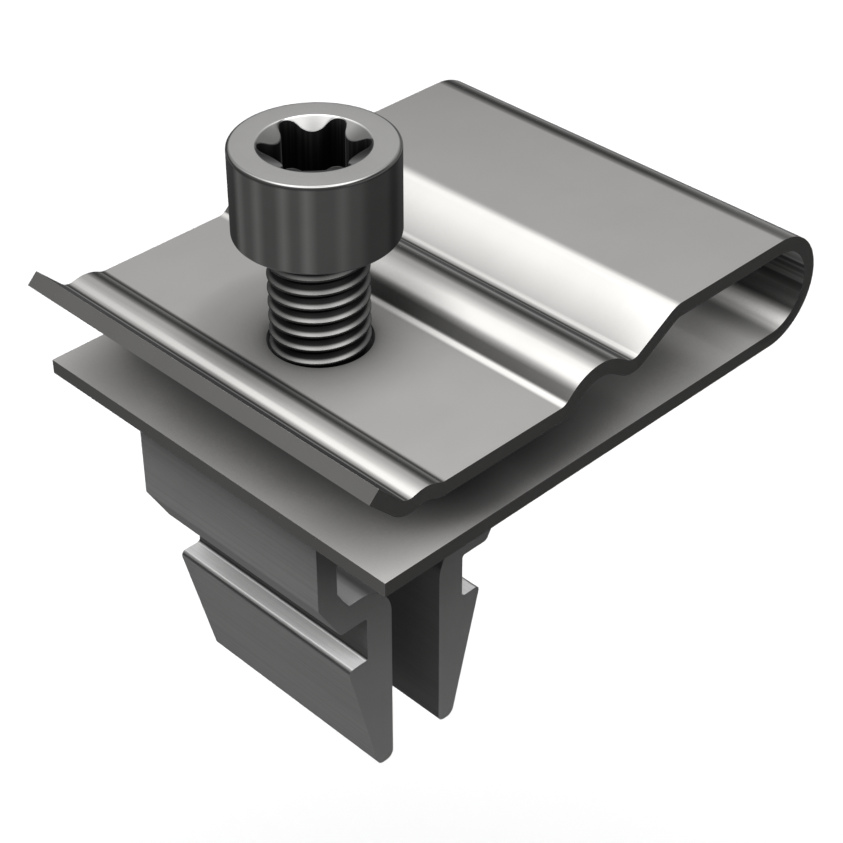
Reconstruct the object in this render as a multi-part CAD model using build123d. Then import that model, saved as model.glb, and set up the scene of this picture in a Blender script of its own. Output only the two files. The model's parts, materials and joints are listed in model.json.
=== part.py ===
from build123d import *

import os
from math import cos, radians, sin, tan

# Bonding clamp for a solar mounting rail: a folded spring clip that grips a round conductor,
# a sprung foot that clicks into the slot of the rail, and one cap screw that draws the clip
# down on the foot.
#
# Millimetres. The origin is on the screw's axis, in the plane of the rail's top face, on which
# the foot's shoulders sit. +Z points out of the rail, +X towards the clip's fold, +Y across it.

# Foot: an extruded section, the same on both sides of the screw
foot_width = 20.9
foot_depth = 20.9
body_height = 12.0
plate_thickness = 4.5
wall_thickness = 2.0
floor_thickness = 2.5
haunch_height = 3.85
haunch_angle = 60.0
leg_gap = 5.4
leg_thickness = 2.7
leg_length = 17.1
leg_bend_radius = 3.4
barb_depth = 4.4
barb_reach = 2.15
toe_thickness = 1.65
toe_radius = 0.75
foot_edge_radius = 0.45
foot_corner_radius = 0.3

# Clip: one strip of sheet. The fold's two legs are level, and the gaps are the clear heights
# between the lower leg and the two level stretches of the upper one.
sheet_thickness = 1.3
clip_width = 39.0
lower_leg_reach = 12.0
fold_distance = 32.6
mouth_gap = 4.6
conductor_gap = 7.65
clip_hole_diameter = 8.45

# The upper leg's bends, as the sharp corners of the sheet's middle line: the distance from the
# screw's axis, and the rise above the level stretch that the screw passes through.
lip_end_distance = 12.91
lip_end_rise = 3.04
lip_root_distance = 10.02
lip_root_rise = 0.15
step_top_distance = 7.72
step_top_rise = 0.68
step_foot_distance = 6.4
bead_foot_distance = 6.83
bead_top_distance = 10.14
bead_top_rise = 2.88
valley_distance = 14.37
valley_rise = 0.13
roof_distance = 19.45
bend_radius = 1.2
bead_radius = 3.2
step_foot_radius = 1.5
step_top_radius = 1.9
lip_bend_radius = 1.2

# Screw: a cap screw with a six-lobe recess, its thread drawn as a plain shank
thread_diameter = 8.0
screw_length = 20.0
head_diameter = 13.0
head_height = 7.35
head_lift = 9.75
head_top_radius = 0.45
head_bottom_radius = 0.2
neck_radius = 0.4
tip_chamfer = 1.0
recess_diameter = 8.5
recess_waist = 5.9
recess_tip_radius = 0.65
recess_depth = 4.2
recess_turn = 20.0
countersink_diameter = 8.75
countersink_angle = 130.0
recess_point_angle = 140.0

# Fits
thread_clearance = 0.05
bore_lead = 0.5

# Heights that the pieces share
foot_top = body_height
lower_leg_top = foot_top + sheet_thickness
flat_top = lower_leg_top + mouth_gap + sheet_thickness
head_underside = flat_top + head_lift
head_top = head_underside + head_height
screw_tip = head_underside - screw_length

lobes = 6
lobe_pitch = 360.0 / lobes

FROM_ABOVE = (Align.CENTER, Align.CENTER, Align.MAX)


def foot_half_section():
    """Right half of the foot's section, from the middle of its top plate round to it again."""
    half_width = foot_width / 2
    wall_inside = half_width - wall_thickness
    leg_inside = leg_gap / 2
    leg_outside = leg_inside + leg_thickness
    plate_underside = foot_top - plate_thickness
    slope = tan(radians(haunch_angle))
    # The channel's slanted corner runs parallel to the haunch, one wall inside it.
    inner_haunch_top = haunch_height + wall_thickness * tan(radians(90.0 - haunch_angle) / 2)
    channel_floor_end = wall_inside - (inner_haunch_top - floor_thickness) / slope
    corners = [
        ((half_width, foot_top), foot_edge_radius),
        ((half_width, haunch_height), foot_edge_radius),
        ((half_width - haunch_height / slope, 0), foot_edge_radius),
        ((leg_outside, 0), foot_corner_radius),
        ((leg_outside, -barb_depth), foot_corner_radius),
        ((leg_outside + barb_reach, -barb_depth), foot_edge_radius),
        ((leg_inside + toe_thickness, -leg_length), toe_radius),
        ((leg_inside, -leg_length), toe_radius),
        ((leg_inside, floor_thickness), leg_bend_radius),
        ((channel_floor_end, floor_thickness), foot_corner_radius),
        ((wall_inside, inner_haunch_top), foot_corner_radius),
        ((wall_inside, plate_underside), foot_edge_radius),
    ]
    points = [(0, foot_top)] + [point for point, radius in corners] + [(0, plate_underside)]
    radii = [radius for point, radius in corners]
    open_side = FilletPolyline(*points, radius=radii)
    return make_face([open_side, Line((0, plate_underside), (0, foot_top))])


def click_foot():
    """The extruded foot, with the tapped hole that the screw turns in."""
    half = foot_half_section()
    section = Plane.XZ * (half + mirror(half, about=Plane.YZ))
    body = extrude(section, amount=foot_depth / 2, both=True)
    bore_radius = thread_diameter / 2 + thread_clearance
    bore = Cylinder(bore_radius, plate_thickness, align=FROM_ABOVE)
    lead = Cone(bore_radius, bore_radius + bore_lead, bore_lead, align=FROM_ABOVE)
    return body - Pos(0, 0, foot_top) * bore - Pos(0, 0, foot_top) * lead


def clip_middle_line():
    """Middle of the clip's sheet, from the lower leg's free edge round the fold to the lip."""
    low = foot_top + sheet_thickness / 2
    flat = flat_top - sheet_thickness / 2
    roof = lower_leg_top + conductor_gap + sheet_thickness / 2
    fold_radius = (roof - low) / 2
    lower_leg = Line((-lower_leg_reach, low), (fold_distance, low))
    fold = CenterArc((fold_distance, low + fold_radius), fold_radius, -90, 180)
    inside_radii = [
        bend_radius,
        bend_radius,
        bead_radius,
        bend_radius,
        step_foot_radius,
        step_top_radius,
        lip_bend_radius,
    ]
    upper_leg = FilletPolyline(
        (fold_distance, roof),
        (roof_distance, roof),
        (valley_distance, flat + valley_rise),
        (bead_top_distance, flat + bead_top_rise),
        (bead_foot_distance, flat),
        (-step_foot_distance, flat),
        (-step_top_distance, flat + step_top_rise),
        (-lip_root_distance, flat + lip_root_rise),
        (-lip_end_distance, flat + lip_end_rise),
        radius=[radius + sheet_thickness / 2 for radius in inside_radii],
    )
    return Wire([lower_leg, fold, *upper_leg.edges()])


def spring_clip():
    """The folded strip, with the screw's clearance hole through both legs."""
    middle = clip_middle_line()
    outer = middle.offset_2d(sheet_thickness / 2, side=Side.RIGHT, closed=False)
    inner = middle.offset_2d(sheet_thickness / 2, side=Side.LEFT, closed=False)
    # The inner side is drawn back from the lip, so each end joins a start to a finish.
    lower_end = Line(outer @ 0, inner @ 1)
    lip_end = Line(outer @ 1, inner @ 0)
    section = make_face([*outer.edges(), lip_end, *inner.edges(), lower_end])
    strip = extrude(Plane.XZ * section, amount=clip_width / 2, both=True)
    hole = Cylinder(clip_hole_diameter / 2, flat_top - foot_top, align=FROM_ABOVE)
    return strip - Pos(0, 0, flat_top) * hole


def six_lobe_star():
    """Outline of the driver recess: round tips joined by round flutes, tangent to each other.

    A tip's centre lies on its arm, a flute's centre midway between two arms, and their distance
    is the sum of the two radii. That gives the flute's radius from the three stated sizes.
    """
    half_turn = radians(lobe_pitch / 2)
    tip_centre = recess_diameter / 2 - recess_tip_radius
    waist = recess_waist / 2
    span = tip_centre**2 + waist**2 - 2 * tip_centre * waist * cos(half_turn)
    flute_radius = (span - recess_tip_radius**2) / (
        2 * (recess_tip_radius + tip_centre * cos(half_turn) - waist)
    )
    flute_centre = waist + flute_radius
    share = recess_tip_radius / (recess_tip_radius + flute_radius)
    joint_x = tip_centre + share * (flute_centre * cos(half_turn) - tip_centre)
    joint_y = share * flute_centre * sin(half_turn)
    tip = ThreePointArc((joint_x, -joint_y), (recess_diameter / 2, 0), (joint_x, joint_y))
    next_joint = Vector(joint_x, -joint_y).rotate(Axis.Z, lobe_pitch)
    middle = Vector(waist * cos(half_turn), waist * sin(half_turn))
    flute = ThreePointArc((joint_x, joint_y), middle, next_joint)
    turns = [Rot(0, 0, recess_turn + lobe_pitch * k) for k in range(lobes)]
    return make_face([turn * arc for turn in turns for arc in (tip, flute)])


def clamp_screw():
    """The cap screw: turned head and shank, with the driver recess sunk in the head."""
    shank_radius = thread_diameter / 2
    head_radius = head_diameter / 2
    outline = FilletPolyline(
        (0, screw_tip),
        (shank_radius - tip_chamfer, screw_tip),
        (shank_radius, screw_tip + tip_chamfer),
        (shank_radius, head_underside),
        (head_radius, head_underside),
        (head_radius, head_top),
        (0, head_top),
        radius=[0, 0, neck_radius, head_bottom_radius, head_top_radius],
    )
    half = make_face([outline, Line((0, head_top), (0, screw_tip))])
    blank = revolve(Plane.XZ * half, axis=Axis.Z)
    recess = extrude(Pos(0, 0, head_top - recess_depth) * six_lobe_star(), amount=recess_depth)
    sink_depth = (countersink_diameter / 2) / tan(radians(countersink_angle / 2))
    countersink = Cone(0, countersink_diameter / 2, sink_depth, align=FROM_ABOVE)
    point_depth = (recess_waist / 2) / tan(radians(recess_point_angle / 2))
    point = Cone(0, recess_waist / 2, point_depth, align=FROM_ABOVE)
    blank -= recess
    blank -= Pos(0, 0, head_top) * countersink
    return blank - Pos(0, 0, head_top - recess_depth) * point


os.makedirs("parts", exist_ok=True)
for node, shape in {
    "click_foot": click_foot(),
    "spring_clip": spring_clip(),
    "clamp_screw": clamp_screw(),
}.items():
    export_step(shape, f"parts/{node}.step")
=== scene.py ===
import json
from math import atan2, cos, pi, radians, sin, sqrt, tan

import bmesh
import bpy
import numpy as np
from bpy.props import FloatProperty, FloatVectorProperty, IntProperty, PointerProperty
from mathutils.geometry import tessellate_polygon
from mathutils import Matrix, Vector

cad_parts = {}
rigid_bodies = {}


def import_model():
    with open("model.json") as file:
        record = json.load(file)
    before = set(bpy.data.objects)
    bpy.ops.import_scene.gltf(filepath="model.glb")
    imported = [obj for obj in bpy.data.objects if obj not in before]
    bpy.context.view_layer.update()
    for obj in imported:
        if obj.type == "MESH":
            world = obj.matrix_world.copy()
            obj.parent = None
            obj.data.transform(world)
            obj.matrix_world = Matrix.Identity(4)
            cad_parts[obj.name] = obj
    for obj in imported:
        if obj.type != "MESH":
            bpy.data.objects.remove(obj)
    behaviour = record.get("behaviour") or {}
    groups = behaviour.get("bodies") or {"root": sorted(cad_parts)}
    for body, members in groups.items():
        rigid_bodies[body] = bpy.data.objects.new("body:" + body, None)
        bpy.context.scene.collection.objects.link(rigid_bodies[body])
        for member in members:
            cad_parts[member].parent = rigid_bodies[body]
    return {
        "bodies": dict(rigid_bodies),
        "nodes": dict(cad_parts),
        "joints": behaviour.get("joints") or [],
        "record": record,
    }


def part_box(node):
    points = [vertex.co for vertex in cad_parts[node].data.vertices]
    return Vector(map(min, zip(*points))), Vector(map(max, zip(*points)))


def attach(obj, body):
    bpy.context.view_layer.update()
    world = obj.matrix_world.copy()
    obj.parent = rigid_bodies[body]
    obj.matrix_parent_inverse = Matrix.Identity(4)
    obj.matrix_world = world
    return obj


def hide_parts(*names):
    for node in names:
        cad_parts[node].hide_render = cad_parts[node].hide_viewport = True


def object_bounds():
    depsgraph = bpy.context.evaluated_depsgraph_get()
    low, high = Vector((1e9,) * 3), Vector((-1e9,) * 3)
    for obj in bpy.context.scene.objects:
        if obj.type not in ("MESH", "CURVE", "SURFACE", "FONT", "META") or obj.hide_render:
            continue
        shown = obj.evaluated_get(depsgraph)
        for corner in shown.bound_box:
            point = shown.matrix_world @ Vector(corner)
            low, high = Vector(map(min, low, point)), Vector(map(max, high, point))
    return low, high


# Looks of a bonding clamp for a solar mounting rail. Metres, in the frame of the solids: the
# origin is on the screw's axis in the plane of the rail's top face, +Z out of the rail, +X
# towards the clip's fold, +Y across it.

bl_info = {
    "name": "Solar compensating clamp",
    "version": (1, 0, 0),
    "blender": (4, 5, 0),
    "location": "3D View > Sidebar > Clamp",
    "description": "Makes the folded spring clip, the extruded foot and the cap screw",
    "category": "Add Mesh",
}

MM = 0.001
WELD = 1e-8
BLACK = (0.0, 0.0, 0.0)

# Sizes that several functions share
WINDOW = 5.2 * MM  # half side of the square in which a flat face meets a round hole
SWIVEL_ROOM = 0.01 * MM  # between the foot's top plate and the clip that turns on it
PLATE = 4.5 * MM  # thickness of the foot's top plate
BARE_SHANK = 0.02 * MM  # how far the plain shank lies inside the thread's crests
TIP_CHAMFER = 1.0 * MM
RECESS_TIP = 4.25 * MM
RECESS_WAIST = 2.95 * MM
RECESS_TURN = radians(20.0)
SINK_RIM = 4.375 * MM
EDGE_STEPS = 3  # faces round a quarter turn of a rounded edge

CAD = {"frame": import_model()}
CAD["box"] = [[float(v) for v in corner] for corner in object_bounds()]
FOOT_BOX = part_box("click_foot")
CLIP_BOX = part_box("spring_clip")
SCREW_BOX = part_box("clamp_screw")


def length(label, about, value):
    return FloatProperty(name=label, description=about, default=value, subtype="DISTANCE",
                         unit="LENGTH", precision=5)


def shade(label, about, value):
    return FloatVectorProperty(name=label, description=about, default=value, subtype="COLOR",
                               size=3, min=0.0, max=1.0)


def share(label, about, value):
    return FloatProperty(name=label, description=about, default=value, subtype="FACTOR",
                         min=0.0, max=1.0)


class ClipSizes(bpy.types.PropertyGroup):
    width: length("Width", "Width of the strip", CLIP_BOX[1].y - CLIP_BOX[0].y)
    sheet: length("Sheet", "Thickness of the sheet", 1.3 * MM)
    low: length("Underside", "Height of the lower leg's underside", CLIP_BOX[0].z)
    hole: length("Hole", "Diameter of the screw's clearance hole", 8.45 * MM)
    edge: length("Edge", "Radius that tumbling leaves on the cut edges", 0.01 * MM)
    colour: shade("Steel", "Colour of the bare stainless sheet", (0.615, 0.605, 0.59))
    gloss: share("Roughness", "Roughness of the rolled surface", 0.09)


class FootSizes(bpy.types.PropertyGroup):
    depth: length("Depth", "Length cut off the extrusion", FOOT_BOX[1].y - FOOT_BOX[0].y)
    top: length("Top", "Height of the top plate, with room for the clip to turn on it",
                FOOT_BOX[1].z - SWIVEL_ROOM)
    edge: length("Edge", "Radius that deburring leaves on the sawn edges", 0.035 * MM)
    bore: length("Bore", "Diameter of the tapped hole", 8.1 * MM)
    lead: length("Lead", "Chamfer of the tapped hole", 0.5 * MM)
    colour: shade("Aluminium", "Colour of the extruded metal", (0.78, 0.78, 0.775))
    gloss: share("Roughness", "Roughness of the extruded surface", 0.42)


class ScrewSizes(bpy.types.PropertyGroup):
    tip: length("Tip", "Height of the screw's lower end", SCREW_BOX[0].z)
    top: length("Top", "Height of the head's top", SCREW_BOX[1].z)
    head: length("Head", "Diameter of the head", 13.0 * MM)
    head_height: length("Head height", "Height of the head", 7.35 * MM)
    thread: length("Thread", "Diameter over the thread's crests", 7.96 * MM)
    pitch: length("Pitch", "Pitch of the thread", 1.25 * MM)
    columns: IntProperty(name="Columns", description="Divisions round the axis", default=144)
    colour: shade("Steel", "Colour of the stainless screw", (0.63, 0.625, 0.615))
    gloss: share("Roughness", "Roughness of the turned surface", 0.11)


class StudioSizes(bpy.types.PropertyGroup):
    drop: length("Floor", "Depth of the floor under the rail's face", 0.1)
    white: share("White", "Brightness of the floor", 1.0)
    tent: length("Tent", "Radius of the reflector tent", 3.0)


# Shapes


def rounded_path(corners, radii, step=radians(4.0), closed=False):
    """A line through corners whose bends are arcs.

    A bend of radius r and turn t leaves the first run at r*tan(t/2) before the corner, and its
    points are the start turned about the arc's centre by equal shares of t. Gives the points
    and the unit tangents.
    """
    corners = np.asarray(corners, float)
    count = len(corners)
    points, tangents = [], []
    for i, (here, radius) in enumerate(zip(corners, radii)):
        into = here - corners[i - 1]
        out = corners[(i + 1) % count] - here
        if not closed and i == 0:
            into = out
        if not closed and i == count - 1:
            out = into
        into, out = into / np.hypot(*into), out / np.hypot(*out)
        turn = atan2(into[0] * out[1] - into[1] * out[0], into @ out)
        if radius == 0 or abs(turn) < 1e-6:
            points.append(here[None])
            tangents.append(into[None])
            continue
        side = np.sign(turn)
        start = here - into * radius * tan(abs(turn) / 2)
        centre = start + side * radius * np.array([-into[1], into[0]])
        angle = np.linspace(0, turn, max(3, int(abs(turn) / step) + 2))
        spin = np.array([[np.cos(angle), -np.sin(angle)], [np.sin(angle), np.cos(angle)]])
        points.append(centre + np.einsum("ijn,j->ni", spin, start - centre))
        tangents.append(np.einsum("ijn,j->ni", spin, into))
    return np.concatenate(points), np.concatenate(tangents)


def quarter(count):
    """Angles of a quarter turn, as the columns (1 - cos, sin) of a rounded edge's inset and run."""
    angle = np.linspace(0, pi / 2, count + 1)
    return np.stack([1 - np.cos(angle), np.sin(angle)], axis=1)


def window_lines(half, count=24):
    """Grid lines across a square window of the given half side, half*tan(a) for equal steps of
    a from -45 to 45 degrees, so that rays from the middle meet the square at equal angles."""
    return half * np.tan(np.linspace(-pi / 4, pi / 4, count + 1))


def square_ring(half, rings, count=24):
    """Surface from a square window to a round hole and back out on the other side.

    Row 0 and the last row are the square's outline, the others circles. A ring is (radius,
    height); a radius of None is the square. Columns are rays at equal angles.
    """
    run = window_lines(half, count)
    side = np.full(count, half)
    x = np.concatenate([run[:-1], side, run[:0:-1], -side, run[:1]])
    y = np.concatenate([-side, run[:-1], side, run[:0:-1], -side[:1]])
    reach = np.hypot(x, y)
    rows = [np.stack([x * s, y * s, np.full_like(x, z)], axis=1)
            for r, z in rings for s in [np.ones_like(reach) if r is None else r / reach]]
    return np.stack(rows)


def weld(name, patches, caps=()):
    """One closed mesh from grids of points (rows, columns, 3), each with an optional mask of the
    cells that it keeps, and flat caps (outline points, triangles).

    Cells become two triangles, equal points become one, and triangles that have shrunk to a line
    go. Each vertex gets the sum of its faces' area vectors as its normal, so that flats stay
    flat and only the narrow rounded edges turn.
    """
    points, triangles, start = [], [], 0
    for grid, keep in patches:
        rows, columns = grid.shape[:2]
        index = np.arange(rows * columns).reshape(rows, columns) + start
        a, b, c, d = index[:-1, :-1], index[:-1, 1:], index[1:, 1:], index[1:, :-1]
        cells = np.stack([a, b, c, a, c, d], axis=-1)
        cells = cells.reshape(-1, 6) if keep is None else cells[keep]
        triangles.append(cells.reshape(-1, 3))
        points.append(grid.reshape(-1, 3))
        start += rows * columns
    for outline, corners in caps:
        triangles.append(np.asarray(corners) + start)
        points.append(outline)
        start += len(outline)
    points = np.concatenate(points)
    triangles = np.concatenate(triangles)
    _, first, same = np.unique(np.round(points / WELD).astype(np.int64), axis=0,
                               return_index=True, return_inverse=True)
    points, triangles = points[first], same.ravel()[triangles]
    lasting = (triangles != np.roll(triangles, 1, axis=1)).all(axis=1)
    triangles = triangles[lasting]
    mesh = bpy.data.meshes.new(name)
    mesh.from_pydata(points.tolist(), [], triangles.tolist())
    work = bmesh.new()
    work.from_mesh(mesh)
    bmesh.ops.recalc_face_normals(work, faces=work.faces)
    work.to_mesh(mesh)
    work.free()
    corners = np.zeros(len(mesh.polygons) * 3, np.int32)
    mesh.polygons.foreach_get("vertices", corners)
    corners = corners.reshape(-1, 3)
    p = points[corners]
    area = np.cross(p[:, 1] - p[:, 0], p[:, 2] - p[:, 0])
    normals = np.stack([np.bincount(corners.ravel(), np.repeat(area[:, k], 3), len(points))
                        for k in range(3)], axis=1)
    normals /= np.maximum(np.linalg.norm(normals, axis=1, keepdims=True), 1e-30)
    mesh.polygons.foreach_set("use_smooth", np.ones(len(mesh.polygons), bool))
    mesh.normals_split_custom_set_from_vertices(normals.tolist())
    piece = bpy.data.objects.new(name, mesh)
    bpy.context.scene.collection.objects.link(piece)
    return piece


# Finishes


class Wire:
    """A node's output. Arithmetic on it adds Math nodes."""

    def __init__(self, finish, socket):
        self.finish, self.socket = finish, socket

    def maths(self, operation, *values):
        return self.finish.node("ShaderNodeMath", {"operation": operation},
                                dict(enumerate(values)))

    def __add__(self, other):
        return self.maths("ADD", self, other)

    __radd__ = __add__

    def __sub__(self, other):
        return self.maths("SUBTRACT", self, other)

    def __rsub__(self, other):
        return self.maths("SUBTRACT", other, self)

    def __mul__(self, other):
        return self.maths("MULTIPLY", self, other)

    __rmul__ = __mul__

    def __truediv__(self, other):
        return self.maths("DIVIDE", self, other)

    def __pow__(self, other):
        return self.maths("POWER", self, other)

    def __abs__(self):
        return self.maths("ABSOLUTE", self)

    def step(self, low, high):
        """0 below low, 1 above high, smooth between."""
        return self.finish.node("ShaderNodeMapRange", {"interpolation_type": "SMOOTHSTEP"},
                                {"Value": self, "From Min": low, "From Max": high})

    def band(self, low, full, ebb, high):
        """1 between full and ebb, 0 below low and above high, smooth between."""
        return self.step(low, full) * (1 - self.step(ebb, high))


class Finish:
    """A material under construction."""

    def __init__(self, name):
        self.material = bpy.data.materials.new(name)
        self.material.use_nodes = True
        self.tree = self.material.node_tree
        self.tree.nodes.clear()

    def node(self, kind, settings=None, values=None, output=0):
        """Adds a node: its settings first, a ramp's stops among them, then its sockets' values
        or wires. Gives the wire of one output."""
        made = self.tree.nodes.new(kind)
        for key, value in (settings or {}).items():
            if key == "stops":
                elements = made.color_ramp.elements
                for k, (place, level) in enumerate(value):
                    stop = elements[k] if k < 2 else elements.new(place)
                    stop.position, stop.color = place, (level, level, level, 1)
            else:
                setattr(made, key, value)
        for key, value in (values or {}).items():
            if isinstance(value, Wire):
                self.tree.links.new(value.socket, made.inputs[key])
            else:
                made.inputs[key].default_value = value
        return Wire(self, made.outputs[output])

    def place(self):
        return self.node("ShaderNodeTexCoord", output="Object")

    def axes(self, vector):
        split = self.node("ShaderNodeSeparateXYZ", values={0: vector}).socket.node
        return [Wire(self, out) for out in split.outputs]

    def millimetres(self, place):
        return [axis / MM for axis in self.axes(place)]

    def noise(self, place, scale, detail=2.0, roughness=0.5):
        """Noise whose cells per metre along x, y and z are the three scales."""
        stretched = self.node("ShaderNodeVectorMath", {"operation": "MULTIPLY"},
                              {0: place, 1: scale})
        return self.node("ShaderNodeTexNoise", None,
                         {"Vector": stretched, "Scale": 1.0, "Detail": detail,
                          "Roughness": roughness}, "Fac")

    def blend(self, factor, a, b):
        """Colour a where the factor is 0, b where it is 1."""
        made = self.node("ShaderNodeMix", {"data_type": "RGBA"}, {0: factor}, 2).socket.node
        for key, value in ((6, a), (7, b)):
            if isinstance(value, Wire):
                self.tree.links.new(value.socket, made.inputs[key])
            else:
                made.inputs[key].default_value = (*value, 1)
        return Wire(self, made.outputs[2])

    def occlusion_shaded(self, colour, reach, stops, lift=0.0):
        """Painted shade: the colour darkened by ambient occlusion where neighbouring metal closes a
        place in.
        The stops say how much of it is left at each open share of the sky within reach, after lift
        is added to it."""
        open_share = self.node("ShaderNodeAmbientOcclusion", {"samples": 32},
                               {"Distance": reach}, "AO")
        left = self.axes(self.node("ShaderNodeValToRGB", {"stops": stops},
                                   {0: open_share + lift}))[0]
        return self.blend(left, BLACK, colour)

    def metal(self, colour, roughness, height, depth, metallic=1.0):
        """Ends the material as metal, with a bump whose full height is depth millimetres."""
        bump = self.node("ShaderNodeBump", None,
                         {"Height": height, "Distance": depth * MM, "Strength": 1.0}, "Normal")
        body = self.node("ShaderNodeBsdfPrincipled", None,
                         {"Base Color": colour, "Roughness": roughness, "Metallic": metallic,
                          "Normal": bump}, "BSDF")
        self.end(body)
        return self.material

    def end(self, shader):
        made = self.tree.nodes.new("ShaderNodeOutputMaterial")
        self.tree.links.new(shader.socket, made.inputs["Surface"])


def dim(colour, factor):
    return tuple(c * factor for c in colour)


# Painted shade: how much of a metal's colour is left at each open share of its surroundings
CLIP_SHADE_STOPS = [(0.0, 0.0), (0.3, 0.01), (0.35, 0.02), (0.4, 0.045), (0.5, 0.1), (0.55, 0.145),
             (0.6, 0.24), (0.65, 0.36), (0.7, 0.46), (0.77, 0.58), (0.82, 0.68), (0.87, 0.78),
             (0.925, 0.88), (0.985, 1.0)]
FOOT_SHADE_STOPS = [(0.0, 0.05), (0.25, 0.13), (0.4, 0.22), (0.55, 0.3), (0.75, 0.33), (0.8, 0.4),
             (0.85, 0.55), (0.92, 0.78), (0.97, 1.0)]
SCREW_SHADE_STOPS = [(0.0, 0.01), (0.1, 0.02), (0.2, 0.05), (0.3, 0.11), (0.38, 0.2), (0.45, 0.32),
              (0.6, 0.66), (0.8, 0.92), (0.93, 0.985), (1.0, 1.0)]


def sheet_steel(sizes):
    """Rolled stainless sheet: grain along the strip, faint cloudiness, torn blanked edges, and
    draw lines round the fold. Places on the clip are in millimetres.

    Painted shade: the fold's inside is darkened towards black by place, standing in for the dark
    inside that it mirrors, the lip's crest is darkened a little, and ambient occlusion darkens the
    colour where metal closes it in. The lift paints light and shade in small amounts on the bends
    and round the screw.
    """
    f = Finish("rolled_stainless")
    place = f.place()
    x, y, z = f.millimetres(place)
    grain = f.noise(place, (90.0, 5200.0, 90.0), 3.0, 0.6)
    cloud = f.noise(place, (160.0, 210.0, 160.0), 2.0)
    tear = f.noise(place, (2600.0, 60.0, 500.0), 3.0)
    facing = f.axes(f.node("ShaderNodeTexCoord", output="Normal"))
    cut = abs(facing[1]).step(0.8, 0.95)

    from_fold_axis = (x - 32.6) ** 2 + (z - 17.125) ** 2
    inside = x.step(30.0, 32.5) * (1 - from_fold_axis.step(18.5, 22.5))
    over_crease = z.step(15.0, 16.3)
    draw = f.noise(place, (1100.0, 5.0, 1400.0), 1.0).step(0.45, 0.54)
    draw = draw * x.step(32.5, 34.0) * over_crease
    lip_crest_shade = x.band(-8.95, -8.7, -8.4, -7.9) * z.step(19.2, 19.5)
    tone = f.blend(cloud.step(0.3, 0.7), dim(sizes.colour, 0.97), tuple(sizes.colour))
    tone = f.blend(draw * (0.2 + inside * 0.5) * (1 - cut), tone, dim(sizes.colour, 0.1))
    # Painted shade: the fold's inside darkened towards black, less over the crease
    tone = f.blend(inside * (0.42 - over_crease * 0.37), tone, BLACK)
    # Painted shade: a slight darkening along the lip's crest
    tone = f.blend(lip_crest_shade * 0.12, tone, BLACK)
    tone = f.blend(cut * 0.6, tone, dim(sizes.colour, 0.72))

    # Painted light and shade by place, added to the open share: lighter at the lower leg's free end
    # and fold end, darker below and lighter above where it turns up into the fold, a painted shadow
    # round the screw that is darker on its +Y side and lighter on its -Y side, painted shade down
    # the slope and a painted highlight in the valley by the lip
    lower_leg = 1 - z.step(15.0, 17.0)
    free_end, fold_end = 1 - x.step(-9.0, 1.0), x.step(24.0, 31.0)
    turn_up = x.step(33.5, 35.5) * (0.1 - z.step(14.8, 16.0) * 0.2)
    from_screw = (x * x + y * y).step(70.0, 160.0)
    slope, valley = x.band(14.5, 15.1, 15.2, 19.2), x.band(-9.5, -9.2, -8.9, -8.6)
    upper_lift = from_screw * 0.06 - (1 - from_screw) * y * 0.006 - slope * 0.12 + valley * 0.2
    lower_lift = free_end * 0.21 + fold_end * 0.16 - turn_up
    lift = lower_lift * lower_leg + upper_lift * (1 - lower_leg)

    rough = sizes.gloss + (cloud - 0.5) * 0.03 + (grain - 0.5) * 0.03 + cut * (0.16 + tear * 0.1)
    height = grain * (1 - cut) + tear * cut * 3.0
    # Painted shade by ambient occlusion, with the painted lift
    return f.metal(f.occlusion_shaded(tone, 0.01, CLIP_SHADE_STOPS, lift), rough, height, 0.0008)


def extruded_aluminium(sizes):
    """Mill-finished extrusion: die lines along its length, sawn ends, painted shade on the rounded
    corners, painted light on the upward faces, and painted shade by ambient occlusion.
    """
    f = Finish("mill_aluminium")
    place = f.place()
    lines = f.noise(place, (4200.0, 40.0, 4200.0), 3.0, 0.6)
    cloud = f.noise(place, (260.0, 120.0, 260.0), 2.0)
    saw = f.noise(place, (260.0, 60.0, 5200.0), 2.0)
    _, along, up = f.axes(f.node("ShaderNodeTexCoord", output="Normal"))
    cut = abs(along).step(0.8, 0.95)
    corner = up.band(0.15, 0.4, 0.93, 0.995)
    tone = f.blend(cloud.step(0.3, 0.7), dim(sizes.colour, 0.94), tuple(sizes.colour))
    tone = f.blend((1 - cut) * lines.step(0.4, 0.65) * 0.3, tone, dim(sizes.colour, 0.7))
    tone = f.blend(cut * 0.7, tone, dim(sizes.colour, 0.93))
    # Painted shade: faces that turn partly upwards, the rounded corners among them, darkened by
    # half
    tone = f.blend(corner * 0.5, tone, BLACK)
    # Painted light: upward faces lifted out of the painted shade, more beyond 4 mm along +X
    top_face_light = up.step(0.6, 0.9) * (0.55 + f.millimetres(place)[0].step(4.0, 5.0) * 0.4)
    rough = sizes.gloss + (cloud - 0.5) * 0.08 + (lines - 0.5) * 0.1 + cut * 0.05
    height = lines * (1 - cut) + saw * cut * 1.5
    # Painted shade by ambient occlusion, lifted on the upward faces
    return f.metal(f.occlusion_shaded(tone, 0.03, FOOT_SHADE_STOPS, top_face_light), rough, height, 0.004, 0.55)


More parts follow.
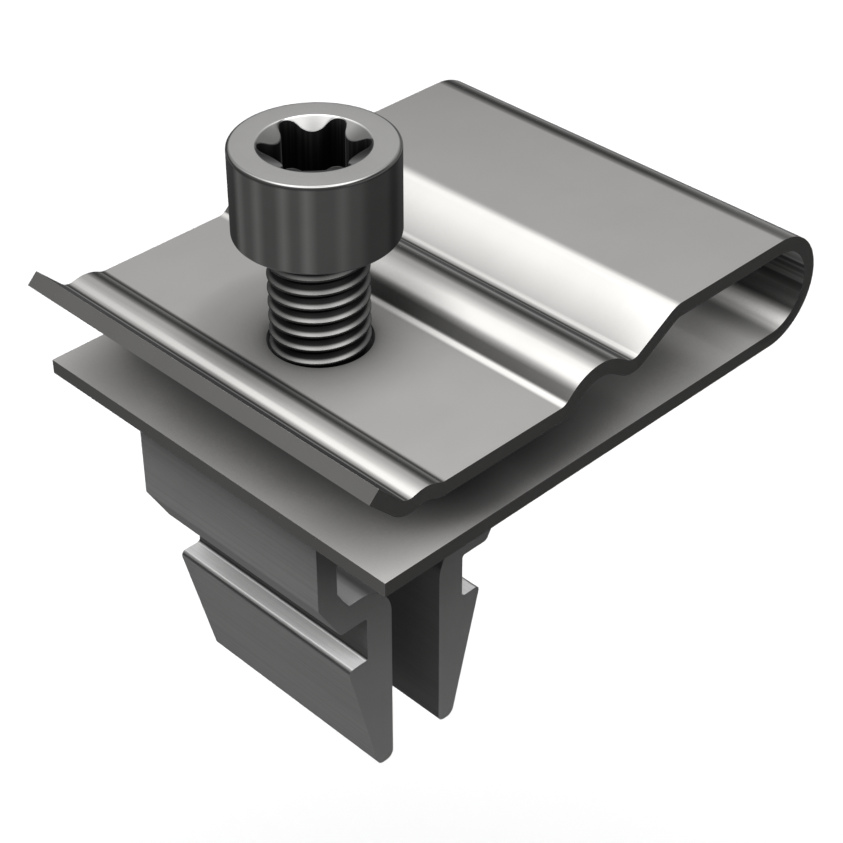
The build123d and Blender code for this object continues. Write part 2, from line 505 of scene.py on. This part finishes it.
def turned_steel(sizes):
    """Stainless screw: fine turning rings, painted shade on the rim and recess, a rougher thread
    with painted shade darkest in its grooves, and painted shade by ambient occlusion. Places on the
    screw are in millimetres."""
    f = Finish("turned_stainless")
    place = f.place()
    x, y, z = f.millimetres(place)
    across = (x * x + y * y) ** 0.5
    depth = sizes.top / MM - z
    ring = f.node("ShaderNodeCombineXYZ", None, {0: across, 1: z, 2: 0.0})
    rings = f.noise(ring, (5.2, 3.6, 1.0), 3.0, 0.6)
    cloud = f.noise(place, (320.0, 320.0, 320.0), 2.0)
    crest = (across / (sizes.thread / MM / 2)).step(0.9, 0.965)
    neck_end = sizes.head_height / MM + 0.6
    shank = depth.step(neck_end - 0.2, neck_end)
    rim_shade = across.step(6.15, 6.3) * (1 - depth.step(0.2, 0.4))
    sink_shade = (1 - across.step(4.2, 4.36)) * (1 - depth.step(4.0, 4.2))
    tone = f.blend(cloud.step(0.3, 0.7), dim(sizes.colour, 0.95), tuple(sizes.colour))
    # Painted shade: the thread darkened almost to black in its grooves and by about half on its
    # crests
    tone = f.blend(shank * (1 - crest * 0.45), tone, dim(sizes.colour, 0.03))
    # Painted shade: the head's rounded rim, the countersink and the recess darkened
    tone = f.blend(rim_shade * 0.45 + sink_shade * 0.6, tone, BLACK)
    rough = sizes.gloss + (cloud - 0.5) * 0.04 + (rings - 0.5) * 0.05 + shank * 0.22
    # Painted shade by ambient occlusion
    return f.metal(f.occlusion_shaded(tone, 0.03, SCREW_SHADE_STOPS), rough, rings, 0.0008)


# Pieces


def finish_piece(piece, material, body, node):
    piece.data.materials.append(material)
    piece.visible_glossy = False
    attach(piece, body)
    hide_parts(node)


def clip_path(sizes):
    """Middle of the strip, from the lower leg's free edge round the fold to the lip."""
    half = sizes.sheet / 2
    low = sizes.low + half
    flat, roof = low + 5.9 * MM, low + 8.95 * MM
    end = CLIP_BOX[1].x - half
    fold = (roof - low) / 2
    bend, bead = 1.2 * MM + half, 3.2 * MM + half
    across = window_lines(WINDOW)
    lower = [((x, low), 0) for x in across]
    upper = [((x, flat), 0) for x in across[::-1]]
    stops = [((-12.0 * MM, low), 0), *lower, ((end, low), fold), ((end, roof), fold)]
    stops += [((x * MM, z), r) for x, z, r in (
        (19.45, roof, bend), (14.37, flat + 0.13 * MM, bend),
        (10.14, flat + 2.88 * MM, bead), (6.83, flat, bend))]
    stops += upper
    stops += [((x * MM, flat + rise * MM), r) for x, rise, r in (
        (-6.4, 0, 1.5 * MM + half), (-7.72, 0.68, 1.9 * MM + half),
        (-10.02, 0.15, 1.2 * MM + half), (-12.91, 3.04, 0))]
    corners, radii = zip(*stops)
    return rounded_path(corners, radii, radians(3.0)), (low, flat)


def make_clip(sizes):
    """The folded strip: a rounded rectangle, width by sheet, carried along the middle line, its
    ends closed over a rounded edge, with a round hole let into a square window of each leg."""
    half, wide, e = sizes.sheet / 2, sizes.width / 2, sizes.edge
    (path, tangent), heights = clip_path(sizes)
    inner = window_lines(WINDOW)
    rest = np.linspace(WINDOW, wide - e, 6)[1:]
    lines = np.concatenate([-rest[::-1], inner, rest])
    turns = np.linspace(0, pi / 2, EDGE_STEPS + 1)

    def section(inset):
        """Columns across and through the sheet: top, edge, underside, edge, and top again."""
        r = e - inset
        arc_y, arc_z = r * np.sin(turns), r * np.cos(turns)
        y = [lines, wide - e + arc_y, wide - e + arc_y[::-1], lines[::-1],
             -(wide - e) - arc_y, -(wide - e) - arc_y[::-1], lines[:1]]
        z = [np.full(len(lines), half - inset), half - e + arc_z, -(half - e) - arc_z[::-1],
             np.full(len(lines), inset - half), -(half - e) - arc_z, half - e + arc_z[::-1],
             [half - inset]]
        return np.concatenate(y), np.concatenate(z)

    def row(point, along, inset):
        y, z = section(inset)
        x = point[0] - along[1] * z
        return np.stack([x, y, point[1] + along[0] * z], axis=1)

    edge = quarter(EDGE_STEPS)
    start = [row(path[0] + tangent[0] * e * (1 - s), tangent[0], e * i) for i, s in edge[::-1]]
    end = [row(path[-1] - tangent[-1] * e * (1 - s), tangent[-1], e * i) for i, s in edge]
    middle = [row(p, t, 0) for p, t in zip(path[1:-1], tangent[1:-1])]
    grid = np.stack(start + middle + end)
    keep = np.ones((grid.shape[0] - 1, grid.shape[1] - 1), bool)
    in_row = np.abs(grid[:, 0, 0]) < WINDOW + WELD
    in_row &= (np.abs(grid[:, 0, 2] - heights[0]) < sizes.sheet) | (
        np.abs(grid[:, 0, 2] - heights[1]) < sizes.sheet)
    in_column = np.abs(grid[len(edge), :, 1]) < WINDOW + WELD
    keep[np.ix_(in_row[:-1] & in_row[1:], in_column[:-1] & in_column[1:])] = False
    hole = sizes.hole / 2
    rings = [(None, half), (hole + 3 * e, half), (hole + e, half)]
    rings += [(hole + e * (1 - s), half - e * i) for i, s in edge[1:]]
    rings += [(r, -z) for r, z in rings[::-1]]
    patches = [(grid, keep)]
    for height in heights:
        ring = square_ring(WINDOW, rings)
        ring[..., 2] += height
        patches.append((ring, None))
    for line in (grid[0], grid[-1]):
        n, edges = len(lines), 2 * len(turns)
        top, under = line[:n], line[n + edges:2 * n + edges][::-1]
        patches.append((np.stack([top, under]), None))
    piece = weld("clip_strip", patches)
    finish_piece(piece, sheet_steel(sizes), "clip", "spring_clip")


def foot_outline(sizes):
    """Section of the foot, from the middle of its top clockwise: right half, then left half."""
    top, wide = sizes.top, FOOT_BOX[1].x
    floor, haunch, slope = 2.5 * MM, 3.85 * MM, tan(radians(60.0))
    inside, wall, leg = 2.7 * MM, wide - 2.0 * MM, 5.4 * MM
    under, barb, low = top - PLATE, -4.4 * MM, FOOT_BOX[0].z
    shoulder = haunch + 2.0 * MM * tan(radians(15.0))
    r, small, toe = 0.45 * MM, 0.3 * MM, 0.75 * MM
    across = window_lines(WINDOW)
    middle = len(across) // 2
    half = [((x, top), 0) for x in across[middle:]] + [
        ((wide, top), r), ((wide, haunch), r), ((wide - haunch / slope, 0), r),
        ((leg, 0), small), ((leg, barb), small), ((leg + 2.15 * MM, barb), r),
        ((inside + 1.65 * MM, low), toe), ((inside, low), toe), ((inside, floor), 3.4 * MM),
        ((wall - (shoulder - floor) / slope, floor), small), ((wall, shoulder), small),
        ((wall, under), r)] + [((x, under), 0) for x in across[:middle - 1:-1]]
    other = [((-x, z), radius) for (x, z), radius in half[-2:0:-1]]
    corners, radii = zip(*half, *other)
    return rounded_path(corners, radii, radians(6.0), closed=True)


def make_foot(sizes):
    """The extruded foot: its section carried along y, the ends closed over a rounded edge, with
    the bore let into a square window of the top plate's two faces."""
    e, deep = sizes.edge, sizes.depth / 2
    bore, lead, top, under = sizes.bore / 2, sizes.lead, sizes.top, sizes.top - PLATE
    outline, tangent = foot_outline(sizes)
    outwards = np.stack([-tangent[:, 1], tangent[:, 0]], axis=1)
    across = window_lines(WINDOW)
    edge = quarter(EDGE_STEPS)
    rest = np.linspace(WINDOW, deep - e, 4)[1:-1]
    stations = [(-deep + e * (1 - s), e * i) for i, s in edge[::-1]]
    stations += [(y, 0) for y in (*-rest[::-1], *across, *rest)]
    stations += [(deep - e * (1 - s), e * i) for i, s in edge]
    rows = []
    for y, inset in stations:
        p = outline - outwards * inset
        rows.append(np.stack([p[:, 0], np.full(len(p), y), p[:, 1]], axis=1))
    grid = np.stack(rows)
    grid = np.concatenate([grid, grid[:, :1]], axis=1)
    in_row = np.abs(grid[:, 0, 1]) < WINDOW + WELD
    z = grid[len(edge), :, 2]
    in_column = (np.abs(grid[len(edge), :, 0]) < WINDOW + WELD) & (
        (np.abs(z - top) < WELD) | (np.abs(z - under) < WELD))
    keep = np.ones((grid.shape[0] - 1, grid.shape[1] - 1), bool)
    keep[np.ix_(in_row[:-1] & in_row[1:], in_column[:-1] & in_column[1:])] = False
    ease, burr = 0.02 * MM, 0.06 * MM
    rings = [(None, top), (bore + lead + 5 * ease, top), (bore + lead + ease, top),
             (bore + lead - ease, top - ease), (bore + ease, top - lead),
             (bore, top - lead - 2 * ease), (bore, under + burr),
             (bore + burr, under), (bore + 10 * ease, under), (None, under)]
    caps = []
    for row in (grid[0, :-1], grid[-1, :-1]):
        caps.append((row, tessellate_polygon([[(p[0], p[2], 0) for p in row]])))
    piece = weld("foot_extrusion", [(grid, keep), (square_ring(WINDOW, rings), None)], caps)
    finish_piece(piece, extruded_aluminium(sizes), "foot", "click_foot")


def thread_rows(sizes, low, high):
    """Thread as a grid whose rows climb one pitch a turn.

    Along one pitch the radius is the crest, falls at 60 degrees to the axis, and turns back over
    a round root. Rows are held between low and high, where the chamfer of the tip and the
    run-out under the head bring them to one circle each. The last column is the first one, a
    pitch further up.
    """
    p, crest, root = sizes.pitch, sizes.thread / 2, 0.18 * MM
    ease, fall = 0.03 * MM, sqrt(3.0)
    start, fade = 0.82 * MM, 0.9 * MM
    centre = crest + fall * p / 16 + 2 * root - fall * p / 2
    touch = p / 2 - root * cos(pi / 6)
    arc = np.linspace(touch, p / 2, 4)
    x = np.array([0, p / 16 - ease, p / 16, p / 16 + ease, (p / 16 + touch) / 2, *arc])
    r = np.array([crest, crest, crest - ease * 0.35, crest - ease * fall,
                  crest - fall * (touch - p / 16) / 2,
                  *(centre - np.sqrt(root**2 - (arc - p / 2) ** 2))])
    x, r = np.concatenate([x, p - x[-2:0:-1]]), np.concatenate([r, r[-2:0:-1]])
    turns = int((high - low) / p) + 3
    z = (x[None] + p * np.arange(-1, turns - 1)[:, None]).ravel()
    r = np.tile(r, turns)
    angle = np.linspace(0, 2 * pi, sizes.columns + 1)
    z = low + start + z[:, None] + p * angle[None] / (2 * pi) - p
    z = np.clip(z, low, high)
    r = np.broadcast_to(r[:, None], z.shape)
    full = crest - BARE_SHANK
    run_out = np.clip((high - z) / fade, 0, 1)
    r = full + (r - full) * run_out
    r = np.minimum(r, crest - TIP_CHAMFER + (z - low))
    return np.stack([r * np.cos(angle), r * np.sin(angle), z], axis=-1)


def star_radius(angle):
    """Distance from the axis to the driver recess: round tips of 0.8 mm on a circle, joined by
    round flutes whose centres lie between them, each tangent to the next."""
    waist, round_tip = RECESS_WAIST, 0.8 * MM
    arm = RECESS_TIP - round_tip
    third = pi / 6
    flute = (arm**2 + waist**2 - 2 * arm * waist * cos(third) - round_tip**2) / (
        2 * (round_tip + arm * cos(third) - waist))
    far = waist + flute
    part = round_tip / (round_tip + flute)
    joint = atan2(part * far * sin(third), arm + part * (far * cos(third) - arm))
    a = np.abs((angle - RECESS_TURN + third) % (2 * third) - third)
    on_tip = arm * np.cos(a) + np.sqrt(np.maximum(round_tip**2 - (arm * np.sin(a)) ** 2, 0))
    b = third - a
    on_flute = far * np.cos(b) - np.sqrt(np.maximum(flute**2 - (far * np.sin(b)) ** 2, 0))
    return np.where(a < joint, on_tip, on_flute)


def make_screw(sizes):
    """The cap screw, turned about the axis: tip, thread, neck, head, countersink and recess."""
    angle = np.linspace(0, 2 * pi, sizes.columns + 1)
    angle[-1] = 0
    crest, head = sizes.thread / 2, sizes.head / 2
    low, top = sizes.tip, sizes.top
    under = top - sizes.head_height
    unthreaded = 0.55 * MM
    high = under - unthreaded
    full = crest - BARE_SHANK
    tip_circle = crest - TIP_CHAMFER

    def rings(rows):
        """Rows of (radius, height), either of which may change round the axis."""
        made = []
        for r, z in rows:
            r, z = np.broadcast_to(r, angle.shape), np.broadcast_to(z, angle.shape)
            made.append(np.stack([r * np.cos(angle), r * np.sin(angle), z], axis=1))
        return np.stack(made)

    tip = [(0, low), (tip_circle - 0.3 * MM, low), (tip_circle, low)]
    neck, lower_edge, upper_edge = 0.4 * MM, 0.2 * MM, 0.28 * MM
    line, _ = rounded_path(
        [(full, high), (full, under), (head, under), (head, top), (SINK_RIM, top)],
        [0, neck, lower_edge, upper_edge, 0], radians(9.0))
    outside = [(r, z) for r, z in line]
    star = star_radius(angle)
    slope, point = 1 / tan(radians(65.0)), 1 / tan(radians(70.0))
    mouth, floor = top - (SINK_RIM - star) * slope, top - 4.2 * MM
    nick, ease, foot = 0.03 * MM, 0.07 * MM, 0.06 * MM
    inside = [(SINK_RIM + nick, top), (SINK_RIM - nick, top - 0.02 * MM)]
    inside += [(star + ease + 0.01 * MM, np.minimum(mouth + ease * slope, top - 0.025 * MM))]
    inside += [(star + ease * (1 - s), mouth - ease * i) for i, s in quarter(EDGE_STEPS)]
    inside += [(star, floor + foot), (star - foot, floor)]
    inside += [(np.minimum(star - ease, RECESS_WAIST), floor),
               (RECESS_WAIST * 0.9, floor - 0.1 * RECESS_WAIST * point),
               (0, floor - RECESS_WAIST * point)]
    patches = [(rings(tip), None), (thread_rows(sizes, low, high), None),
               (rings(outside[:-1] + inside), None)]
    piece = weld("cap_screw", patches)
    finish_piece(piece, turned_steel(sizes), "screw", "clamp_screw")


# Stage


def tent_finish():
    """Light that metal mirrors, by direction: dark at and below eye level, with soft upright
    strips all round, and a bright ceiling that comes lower down on the far side than elsewhere.

    A ceiling is a list of (degrees above the horizon, brightness), strips one of (azimuth in
    degrees, strength). The ramps hold half of each value, which is doubled behind them.
    """
    f = Finish("reflector_tent")
    direction = f.node("ShaderNodeVectorMath", {"operation": "NORMALIZE"}, {0: f.place()})
    x, y, z = f.axes(direction)
    rise = f.node("ShaderNodeMath", {"operation": "ARCSINE"}, {0: z}) * (180 / pi)

    def ceiling(stops):
        ramp = f.node("ShaderNodeValToRGB",
                      {"stops": [((a + 90) / 180, v / 2) for a, v in stops]},
                      {0: (rise + 90) / 180})
        return f.axes(ramp)[0] * 2

    high = [(58, 1.66), (63, 2.7), (68, 3.6), (76, 3.6), (82, 1.6), (90, 1.0)]
    far = ceiling([(-90, 0.05), (-60, 0.14), (-44, 0.13), (-36, 0.045), (-30, 0.045), (-25, 0.085),
                   (-21, 0.07), (-17, 0.11), (-12, 0.22), (-7, 0.33), (-4, 0.25), (0, 0.16),
                   (5, 0.11), (10, 0.065), (16, 0.1), (20.5, 0.2), (23.5, 0.28), (26, 0.37),
                   (28, 0.53), (32, 0.61), (36, 0.665), (38, 0.7), (41, 0.84), (45, 1.04),
                   (48.5, 1.26), (51.5, 1.58)] + high)
    near = ceiling([(-90, 0.05), (-55, 0.1), (-42, 0.1), (-34, 0.085), (-20, 0.09), (0, 0.1),
                    (20, 0.13), (27, 0.205), (32, 0.245), (38, 0.2), (43.3, 0.15), (44.6, 0.25),
                    (48, 0.42), (51, 0.68), (53.5, 1.0), (56, 1.5)] + high)
    across = (x * x + y * y) ** 0.5 + 0.0001

    def towards(azimuth):
        """Cosine of the angle, seen from above, between a direction and the azimuth."""
        return (x * cos(radians(azimuth)) + y * sin(radians(azimuth))) / across

    level = near + (far - near) * towards(45).step(0.29, 0.57)
    to_right = towards(-32)
    level = level * (1 - 0.4 * to_right.step(0.72, 0.92) * (1 - rise.step(-5, 10)))
    level = level * (1 - 0.6 * to_right.step(0.62, 0.85) * rise.band(25, 35, 50, 66))
    level = level + 0.13 * to_right.step(0.42, 0.52) * rise.band(-12, -4, 16, 24)
    turn = f.node("ShaderNodeMath", {"operation": "ARCTAN2"}, {0: y, 1: x}) / (2 * pi)
    turn = f.node("ShaderNodeMath", {"operation": "FRACT"}, {0: turn + 1})
    strips = [(95, 0), (108, 1), (121, 0.1), (132, 0.1), (144, 0.9), (156, 0.05), (172, 0.05),
              (184, 1), (195, 0.15), (204, 0.15), (215, 1.1), (229, 0.05), (250, 0.05),
              (262, 0.5), (275, 0)]
    strip = f.node("ShaderNodeValToRGB", {"stops": [(a / 360, v / 2) for a, v in strips]},
                   {0: turn})
    level = level + f.axes(strip)[0] * 2 * 0.09 * (1 - rise.step(-25, -5))
    glow = f.node("ShaderNodeEmission", None, {"Color": (1, 1, 1, 1), "Strength": level})
    f.end(glow)
    f.material.cycles.emission_sampling = "NONE"
    return f.material


def make_stage(sizes):
    """Pale floor, white surroundings, the reflector tent, and the camera."""
    world = bpy.data.worlds.new("white_room")
    bpy.context.scene.world = world
    world.use_nodes = True
    back = world.node_tree.nodes["Background"]
    back.inputs["Color"].default_value = (1, 1, 1, 1)
    back.inputs["Strength"].default_value = 1.0
    f = Finish("pale_floor")
    f.end(f.node("ShaderNodeBsdfDiffuse", None,
                 {"Color": (sizes.white, sizes.white, sizes.white, 1)}))
    mesh = bpy.data.meshes.new("floor")
    reach = 6.0
    mesh.from_pydata([(x * reach, y * reach, -sizes.drop)
                      for x, y in ((-1, -1), (1, -1), (1, 1), (-1, 1))], [], [(0, 1, 2, 3)])
    mesh.materials.append(f.material)
    floor = bpy.data.objects.new("floor", mesh)
    bpy.context.scene.collection.objects.link(floor)
    floor.visible_glossy = floor.visible_diffuse = False

    u, v = np.meshgrid(np.linspace(0, 2 * pi, 49), np.linspace(-pi / 2, pi / 2, 25))
    grid = sizes.tent * np.stack([np.cos(v) * np.cos(u), np.cos(v) * np.sin(u), np.sin(v)], -1)
    tent = weld("reflector_tent", [(grid, None)])
    tent.data.materials.append(tent_finish())
    tent.visible_camera = tent.visible_shadow = tent.visible_transmission = False

    # The pinhole camera solved from the view: the picture's width, the focal length and the
    # centre, in pixels
    picture, focal, centre_x, centre_y = 843, 2046.88, 421.47, 382.75
    lens = bpy.data.cameras.new("camera")
    lens.sensor_width = 36.0
    lens.lens = lens.sensor_width * focal / picture
    lens.shift_x = (centre_x - picture / 2) / picture
    lens.shift_y = (centre_y - picture / 2) / picture
    lens.clip_start = 0.001
    lens.clip_end = 20.0
    camera = bpy.data.objects.new("camera", lens)
    camera.location = (-87.27 * MM, -98.74 * MM, 108.67 * MM)
    camera.rotation_euler = (radians(90 - 35.5081), 0, radians(45.1216 - 90))
    bpy.context.scene.collection.objects.link(camera)
    bpy.context.scene.camera = camera
    bpy.context.scene.view_settings.view_transform = "Standard"


class CLAMP_OT_clip(bpy.types.Operator):
    """Makes the folded spring clip"""
    bl_idname = "clamp.make_clip"
    bl_label = "Spring clip"

    def execute(self, context):
        make_clip(context.scene.clamp_clip)
        return {"FINISHED"}


class CLAMP_OT_foot(bpy.types.Operator):
    """Makes the extruded foot that clicks into the rail"""
    bl_idname = "clamp.make_foot"
    bl_label = "Click foot"

    def execute(self, context):
        make_foot(context.scene.clamp_foot)
        return {"FINISHED"}


class CLAMP_OT_screw(bpy.types.Operator):
    """Makes the threaded cap screw"""
    bl_idname = "clamp.make_screw"
    bl_label = "Cap screw"

    def execute(self, context):
        make_screw(context.scene.clamp_screw)
        return {"FINISHED"}


class CLAMP_OT_stage(bpy.types.Operator):
    """Makes the floor, the light and the camera"""
    bl_idname = "clamp.make_stage"
    bl_label = "Stage"

    def execute(self, context):
        make_stage(context.scene.clamp_studio)
        return {"FINISHED"}


OPERATORS = (CLAMP_OT_stage, CLAMP_OT_foot, CLAMP_OT_clip, CLAMP_OT_screw)
GROUPS = {"clamp_clip": ClipSizes, "clamp_foot": FootSizes, "clamp_screw": ScrewSizes,
          "clamp_studio": StudioSizes}


class CLAMP_PT_panel(bpy.types.Panel):
    """Lists the clamp's pieces and the stage"""
    bl_idname = "CLAMP_PT_panel"
    bl_label = "Compensating clamp"
    bl_space_type = "VIEW_3D"
    bl_region_type = "UI"
    bl_category = "Clamp"

    def draw(self, context):
        for operator in OPERATORS:
            self.layout.operator(operator.bl_idname)
        for name, group in GROUPS.items():
            box = self.layout.box()
            for key in group.__annotations__:
                box.prop(getattr(context.scene, name), key)


def register():
    for group in GROUPS.values():
        bpy.utils.register_class(group)
    for name, group in GROUPS.items():
        setattr(bpy.types.Scene, name, PointerProperty(type=group))
    for kind in (*OPERATORS, CLAMP_PT_panel):
        bpy.utils.register_class(kind)


def unregister():
    for kind in (CLAMP_PT_panel, *reversed(OPERATORS)):
        bpy.utils.unregister_class(kind)
    for name, group in GROUPS.items():
        delattr(bpy.types.Scene, name)
        bpy.utils.unregister_class(group)


def main():
    register()
    bpy.ops.clamp.make_stage()
    bpy.ops.clamp.make_foot()
    bpy.ops.clamp.make_clip()
    bpy.ops.clamp.make_screw()
    bpy.context.view_layer.update()


if __name__ == "__main__":
    main()
